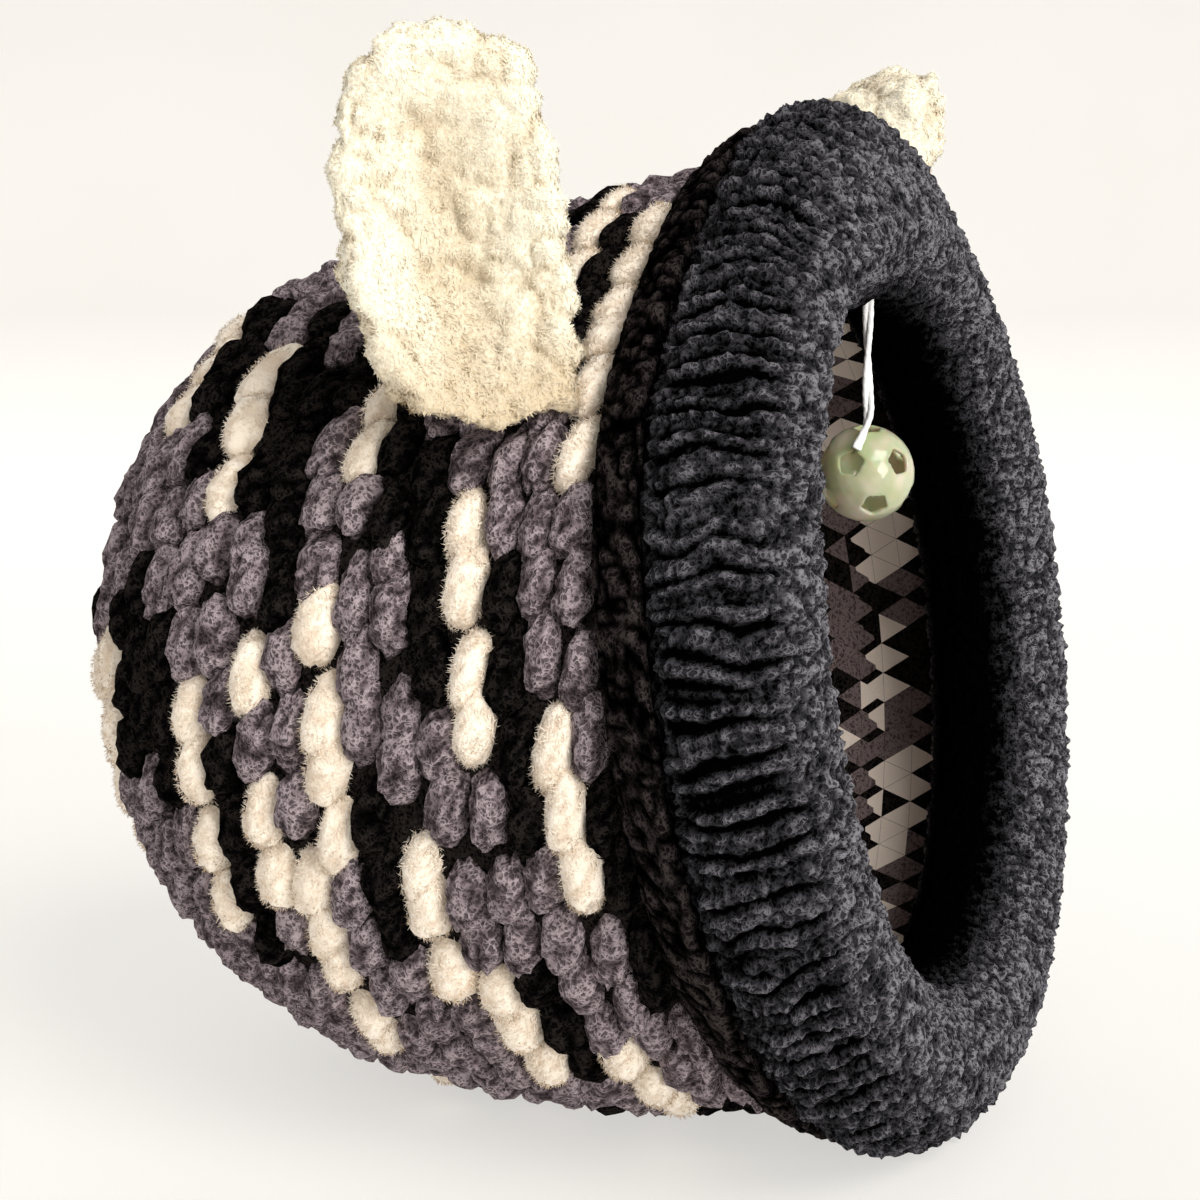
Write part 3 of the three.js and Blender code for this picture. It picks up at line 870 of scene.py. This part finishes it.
def build_diamonds(yarn, places, material):
    """One yarn's halves of diamonds: flat puffy triangles on the wall's inner face."""
    arc, turn, half, way = np.array(places).T
    reach = DIAMOND_PITCH - DIAMOND_GAP
    high = half * (1 - DIAMOND_GAP / DIAMOND_HEIGHT)
    corners = [
        dome(arc + way * HALVES_GAP, turn - high, -DIAMOND_DEPTH),
        dome(arc + way * HALVES_GAP, turn + high, -DIAMOND_DEPTH),
        dome(arc + way * reach, turn, -DIAMOND_DEPTH),
        dome(arc + way * DIAMOND_PEAK * reach, turn, -DIAMOND_DEPTH - DIAMOND_PUFF),
    ]
    points = np.stack(corners, 1)
    puffed = np.array([0, 0, 0, DIAMOND_PUFF])
    points[..., 2] = np.maximum(points[..., 2], WALL_INSIDE + puffed)
    triangles = np.array([[0, 1, 3], [1, 2, 3], [2, 0, 3], [2, 1, 0]])
    faces = repeated(triangles, len(points), len(corners)).reshape(len(points), len(triangles), 3)
    turned = way > 0
    faces[turned] = faces[turned][:, :, ::-1]
    inward = unit_length(dome(arc, turn, -DIAMOND_DEPTH - 1) - dome(arc, turn, -DIAMOND_DEPTH))
    points, faces = points.reshape(-1, 3), faces.reshape(-1, 3)
    normals = np.repeat(inward, len(corners), axis=0)
    return build_piece(f"inside_{yarn}", points, faces, material, normals=normals)


def build_pouch(yarns, random):
    """The pouch: its stitches, fuzz and purl side, and the wall between them."""
    stitches = lay_stitches(random)
    by_yarn = {yarn: [s for s in stitches if s["yarn"] == yarn] for yarn in CURL_DEPTHS}
    for yarn, chosen in by_yarn.items():
        piece = build_stitches(yarn, chosen, yarns[f"{yarn}_yarn"], random)
        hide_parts("body_shell")
    build_cream_fuzz(by_yarn["cream"], yarns["cream_yarn"], random)
    for yarn, places in diamond_halves(random).items():
        build_diamonds(yarn, places, yarns[INSIDE_YARNS[yarn]])
    wall = build_pouch_wall(yarns["black_yarn"])


def rim_points(turn, side, swell):
    """Points of the ring, swollen from its plain tube."""
    depth = np.where(np.sin(side) > 0, TUBE_BACK, TUBE_RADIUS) + swell
    return cave(depth * np.sin(side), RING_RADIUS + (TUBE_RADIUS + swell) * np.cos(side), turn)


def rim_creases(turn, strength, seam, smooth):
    """How deep the ring's gathers are, about 0 to 1; they wander and are uneven."""
    wander = GATHER_WANDER * lattice_noise(smooth, WANDER_SIZE, SEEDS["wander"])
    wander = wander + WAVER * lattice_noise(smooth, WAVER_SIZE, SEEDS["waver"])
    wide, fine = GATHER_SHARES
    crease = wide * np.cos(GATHERS / 2 * turn + wander) ** 2
    crease += fine * np.cos(FINE_GATHERS / 2 * turn + FINE_WANDER * wander) ** 2
    stray = GATHER_STRAY * lattice_noise(smooth, GATHER_STRAY_SIZE, SEEDS["gather_depth"])
    return crease * strength * (1 - seam) * (GATHER_MEAN + stray)


def rim_painted_shade(side, strength, seam, crease, loops):
    """The ring's painted shade: dark between loops, in gathers and at the seam, and nearly black towards the
    inside.
    """
    tone = at_least(RIM_LEAST_TONE, smoothstep(*RIM_LIT, loops))
    tone = tone * (1 - CREASE_PAINTED_SHADE * smoothstep(*CREASE_DEPTHS, crease))
    tone *= (1 - GATHERED_PAINTED_SHADE * strength) * (1 - SEAM_PAINTED_SHADE * seam)
    # painted shade, nearly black towards the inside of the ring
    inner = smoothstep(*INNER_FADE, np.cos(side - INNER_SIDE))
    return tone * (1 - INNER_PAINTED_SHADE * inner)


def build_rim(material):
    """The padded ring: gathers across it, and loops of yarn all over."""
    turns = FULL_TURN * np.arange(RIM_TURNS) / RIM_TURNS
    sides = uneven_ways(RIM_SHOWN, FULL_TURN, RIM_SHOWN_SIDES, RIM_HIDDEN_SIDES)
    turn, side = np.meshgrid(turns, sides, indexing="ij")
    smooth = rim_points(turn, side, 0)
    strength = at_least(GATHER_LEAST, smoothstep(*GATHER_FADE, np.cos(side - GATHER_SIDE)))
    seam = np.exp(-(((side - SEAM_SIDE) / SEAM_WIDTH) ** 2))
    crease = rim_creases(turn, strength, seam, smooth)
    loops = billow(smooth, RIM_LOOP, SEEDS["rim_loops"])
    swell = RIM_LOOP_HEIGHT * (loops - LOOP_MIDDLE) - RIM_DRAW - GATHER_DEPTH * crease - SEAM_DEPTH * seam
    above_cord = smoothstep(*FULLER_TURNS, np.cos(turn))
    above_cord = above_cord * smoothstep(*FULLER_SIDES, np.cos(side - FULLER_SIDE))
    swell += FULLER_ABOVE_CORD * above_cord
    points = rim_points(turn, side, swell).reshape(-1, 3)
    tone = rim_painted_shade(side, strength, seam, crease, loops)
    faces = wrapped_quads(*turn.shape)[:, ::-1]
    rim = build_piece("rim", points, faces, material, tone=tone)
    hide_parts("rim_ring")


def build_collar(material):
    """The puffy band over the seam between the ring and the pouch."""
    section = []
    for (b0, r0), (b1, r1) in zip(COLLAR_SECTION, COLLAR_SECTION[1:] + COLLAR_SECTION[:1]):
        for i in range(COLLAR_FINE):
            section.append((b0 + (b1 - b0) * i / COLLAR_FINE, r0 + (r1 - r0) * i / COLLAR_FINE))
    behind, radius = np.array(section).T
    turn = FULL_TURN * np.arange(COLLAR_TURNS) / COLLAR_TURNS
    smooth = cave(behind[None], radius[None], turn[:, None])
    outer = smoothstep(*COLLAR_LOOPED, radius)[None]
    loops = billow(smooth, COLLAR_LOOP, SEEDS["collar_loops"])
    swell = outer * COLLAR_LOOP_HEIGHT * (loops - LOOP_MIDDLE)
    points = cave(behind[None], radius[None] + swell, turn[:, None]).reshape(-1, 3)
    faces = wrapped_quads(COLLAR_TURNS, len(section))
    # painted shade between the collar's loops
    tone = smoothstep(*COLLAR_LIT, loops)
    collar = build_piece("collar", points, faces, material, tone=tone)
    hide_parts("collar_band")


def ear_rings(ear):
    """Loops of points round an ear, from lip to tip: along its front and back along its rear."""
    foot = np.array(ear["lip"], float) - [0, MIDDLE_Y, 0]
    rise = np.array(ear["tip"], float) - np.array(ear["lip"], float)
    up = unit_length(rise)
    ahead = np.array(ear["faces"], float)
    ahead = unit_length(ahead - up * (ahead @ up))
    across = np.cross(up, ahead)
    frontward = -np.sign(across[1])
    heights = 0.5 - 0.5 * np.cos(math.pi * np.linspace(*EAR_RING_ENDS, EAR_RINGS))
    shares, *columns = np.array(EAR_ROWS).T
    half, hollow, forward = (np.interp(heights, shares, column)[:, None] for column in columns)
    half = half * np.sqrt(np.minimum(1, heights / EAR_LIP_ROUND))[:, None]
    u = np.sin(math.pi * (np.arange(EAR_COLUMNS + 1) / EAR_COLUMNS - 0.5))[None]
    ends = np.sqrt(np.minimum(1, EAR_END_FADE * np.minimum(heights, 1 - heights)))[:, None]
    plump = EAR_THICKNESS / 2 * ends * np.sqrt(np.maximum(0, 1 - u**4))
    middle = foot + rise * heights[:, None, None]
    middle = middle + across * (half * u + frontward * forward)[..., None]
    middle = middle - ahead * (hollow * (1 - EAR_CURL * u * u))[..., None]
    turn_in = EAR_EDGE_TURN * u * hollow / np.maximum(half, EAR_LEAST_HALF)
    out = unit_length(ahead - across * turn_in[..., None])
    front = middle + out * plump[..., None]
    rear = middle - out * plump[..., None]
    return np.concatenate([front, rear[:, -2:0:-1]], axis=1)


def ear_shade():
    """Painted shade on an ear's loops: darker in its hollow and towards its lip."""
    height = np.linspace(0, 1, EAR_RINGS)[:, None]
    lip = at_least(LIP_LEAST_TONE, smoothstep(*LIP_LIT, height))
    column = np.arange(2 * EAR_COLUMNS)[None] / EAR_COLUMNS
    cup = smoothstep(*CUP_STARTS, height) * (1 - smoothstep(*CUP_ENDS, height))
    hollow = np.exp(-(((column - CUP_MIDDLE) / CUP_WIDTH) ** 2)) * cup
    return lip * (1 - CUP_PAINTED_SHADE * hollow)


def build_ear(ear, material, random):
    """A plush ear: a cupped petal of clumps with fine fibres."""
    rings = ear_rings(ear)
    normal = ring_normals(rings)
    seed = SEEDS["ear_clumps"]
    clumps = sum(height * (billow(rings, size, seed) - CLUMP_MIDDLE) for size, height in EAR_CLUMPS.items())
    # painted shade between the clumps, in the hollow and towards the lip
    tone = smoothstep(*EAR_LIT, clumps) * ear_shade()
    rings = rings + normal * (clumps + EAR_PILE)[..., None]
    points, triangles = capped(rings)
    faces = outward(points, triangles)
    skin_tone = np.append(tone, EAR_END_TONES)
    skin = build_piece(ear["name"] + "_skin", points, faces, material, tone=skin_tone)
    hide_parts(ear["name"])
    base, along, spot = scatter(rings, normal, EAR_FIBRES, random)
    # the fibres take the painted shade of the pile under them
    pile_tone = tone.ravel()[spot]
    build_fibres(ear["name"] + "_pile", base, along, pile_tone, EAR_FUZZ, material, random)


def smooth_route(count):
    """Points along the cord's route, evenly placed, and its length."""
    knots = np.array(CORD_ROUTE, float) + BALL_CENTRE
    before, after = 2 * knots[0] - knots[1], 2 * knots[-1] - knots[-2]
    p = np.vstack([before, knots, after])
    samples = []
    for i in range(1, len(p) - 2):
        t = np.linspace(0, 1, KNOT_STEPS, endpoint=False)[:, None]
        a = 2 * p[i]
        b = (p[i + 1] - p[i - 1]) * t
        c = (2 * p[i - 1] - 5 * p[i] + 4 * p[i + 1] - p[i + 2]) * t**2
        d = (3 * p[i] - p[i - 1] - 3 * p[i + 1] + p[i + 2]) * t**3
        samples.append((a + b + c + d) / 2)
    line = np.vstack([*samples, knots[-1:]])
    far = np.append(0, np.cumsum(np.linalg.norm(np.diff(line, axis=0), axis=1)))
    even = np.linspace(0, far[-1], count)
    return np.stack([np.interp(even, far, line[:, i]) for i in range(3)], -1), far[-1]


def circle_points(angle, aside, other):
    """Points on unit circles, each across the cord at one of its points."""
    return np.cos(angle)[..., None] * aside + np.sin(angle)[..., None] * other


def build_cord(material):
    """Two strands of soft yarn twisted along one route."""
    line, length = smooth_route(CORD_STEPS)
    tangent = unit_length(np.gradient(line, axis=0))
    aside = unit_length(np.cross(tangent, CORD_ASIDE))
    other = np.cross(tangent, aside)
    twist = FULL_TURN * np.linspace(0, length / CORD_TWIST, CORD_STEPS)
    around = FULL_TURN * np.arange(CORD_SIDES) / CORD_SIDES
    ply = PLY_DEPTH * np.sin(PLIES * around[None] + PLY_WAVES * twist[:, None])
    radius = STRAND_RADIUS * (1 + ply)
    circles = circle_points(around[None], aside[:, None], other[:, None])
    parts, faces, start = [], [], 0
    for phase in (0, math.pi):
        middle = line + STRAND_APART * circle_points(twist + phase, aside, other)
        points, triangles = capped(middle[:, None] + radius[..., None] * circles)
        faces.append(outward(points, triangles) + start)
        parts.append(points)
        start += len(points)
    cord = build_piece("cord", np.vstack(parts), np.vstack(faces), material, "toy")
    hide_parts("toy_cord")
    return cord, line * MM, length * MM


def build_ball(source, material):
    """The hollow ball with rounded edges round its holes."""
    draft = add_object("ball_draft", source.data.copy())
    remesh = draft.modifiers.new("even", "REMESH")
    remesh.mode = "VOXEL"
    remesh.voxel_size = BALL_VOXEL
    soften = draft.modifiers.new("soften", "SMOOTH")
    soften.factor = BALL_SMOOTHING
    soften.iterations = BALL_SMOOTHINGS
    mesh = bpy.data.meshes.new_from_object(draft.evaluated_get(bpy.context.evaluated_depsgraph_get()))
    bpy.data.objects.remove(draft)
    mesh.name = "ball"
    mesh.materials.clear()
    mesh.materials.append(material)
    shade_smooth(mesh)
    ball = add_object("ball", mesh)
    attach(ball, "toy")
    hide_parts("toy_ball")
    return ball


def build_toy(source, cord_yarn):
    """The ball and the cord that it hangs on."""
    cord, cord_line, cord_length = build_cord(cord_yarn)
    ball = build_ball(source, ball_plastic())


def build_floor():
    """A pale floor that curves up into a backdrop, square to the camera."""
    bends = np.linspace(0, math.pi / 2, FLOOR_BEND_STEPS)
    profile = [(FLOOR_FRONT, 0.0)]
    profile += [(FLOOR_BACK + FLOOR_BEND * math.sin(a), FLOOR_BEND * (1 - math.cos(a))) for a in bends]
    profile.append((FLOOR_BACK + FLOOR_BEND, BACKDROP_TOP))
    forward = np.array([-math.sin(CAMERA_AZIMUTH), math.cos(CAMERA_AZIMUTH), 0])
    sideways = np.array([forward[1], -forward[0], 0])
    points = []
    for reach, height in profile:
        for side in (-FLOOR_HALF_WIDTH, FLOOR_HALF_WIDTH):
            points.append(forward * reach + sideways * side + np.array([0, 0, height]))
    rows = np.arange(len(profile) - 1) * 2
    faces = np.stack([rows, rows + 1, rows + 3, rows + 2], -1)
    mesh = bpy.data.meshes.new("floor")
    mesh.from_pydata((np.array(points) * MM).tolist(), [], faces.tolist())
    mesh.materials.append(floor_paper())
    shade_smooth(mesh)
    floor = add_object("floor", mesh)


def add_camera():
    camera = bpy.data.cameras.new("camera")
    camera.lens = CAMERA_LENS
    camera.sensor_width = CAMERA_SENSOR
    seat = add_object("camera", camera)
    level = math.cos(CAMERA_ELEVATION)
    sideways, behind = math.sin(CAMERA_AZIMUTH), -math.cos(CAMERA_AZIMUTH)
    back = Vector((sideways * level, behind * level, math.sin(CAMERA_ELEVATION)))
    seat.location = CAMERA_TARGET + CAMERA_DISTANCE * back
    seat.rotation_euler = back.to_track_quat("Z", "Y").to_euler()
    bpy.context.scene.camera = seat


def add_sun(name, way, strength, spread):
    """A far light that shines along a direction, soft by its spread in degrees."""
    light = bpy.data.lights.new(name, "SUN")
    light.energy = strength
    light.angle = math.radians(spread)
    light.color = srgb(*SUN_COLOUR)[:3]
    lamp = add_object(name, light)
    lamp.rotation_euler = Vector(way).to_track_quat("-Z", "Y").to_euler()


def add_lights():
    """A soft key light from high in front, a broad one aside, one into the mouth, and a white room."""
    for name, sun in SUNS.items():
        add_sun(name, **sun)
    world = bpy.data.worlds.new("world")
    world.use_nodes = True
    sky = world.node_tree.nodes["Background"]
    sky.inputs["Color"].default_value = srgb(*ROOM_COLOUR)
    sky.inputs["Strength"].default_value = ROOM_STRENGTH
    bpy.context.scene.world = world
    bpy.context.scene.view_settings.view_transform = "Standard"


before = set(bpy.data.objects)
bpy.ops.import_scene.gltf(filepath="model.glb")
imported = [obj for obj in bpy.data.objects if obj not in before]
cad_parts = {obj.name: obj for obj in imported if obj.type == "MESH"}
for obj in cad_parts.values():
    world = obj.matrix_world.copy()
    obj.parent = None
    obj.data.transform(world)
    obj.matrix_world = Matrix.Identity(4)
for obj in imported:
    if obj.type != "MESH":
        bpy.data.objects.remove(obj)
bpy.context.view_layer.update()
random = np.random.default_rng(7)
yarns = yarn_materials()

build_toy(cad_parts["toy_ball"], yarns["cord_yarn"])
build_pouch(yarns, random)
build_rim(yarns["rim_knit"])
build_collar(yarns["collar_knit"])
for ear in EARS:
    build_ear(ear, yarns["ear_plush"], random)

build_floor()
add_camera()
add_lights()
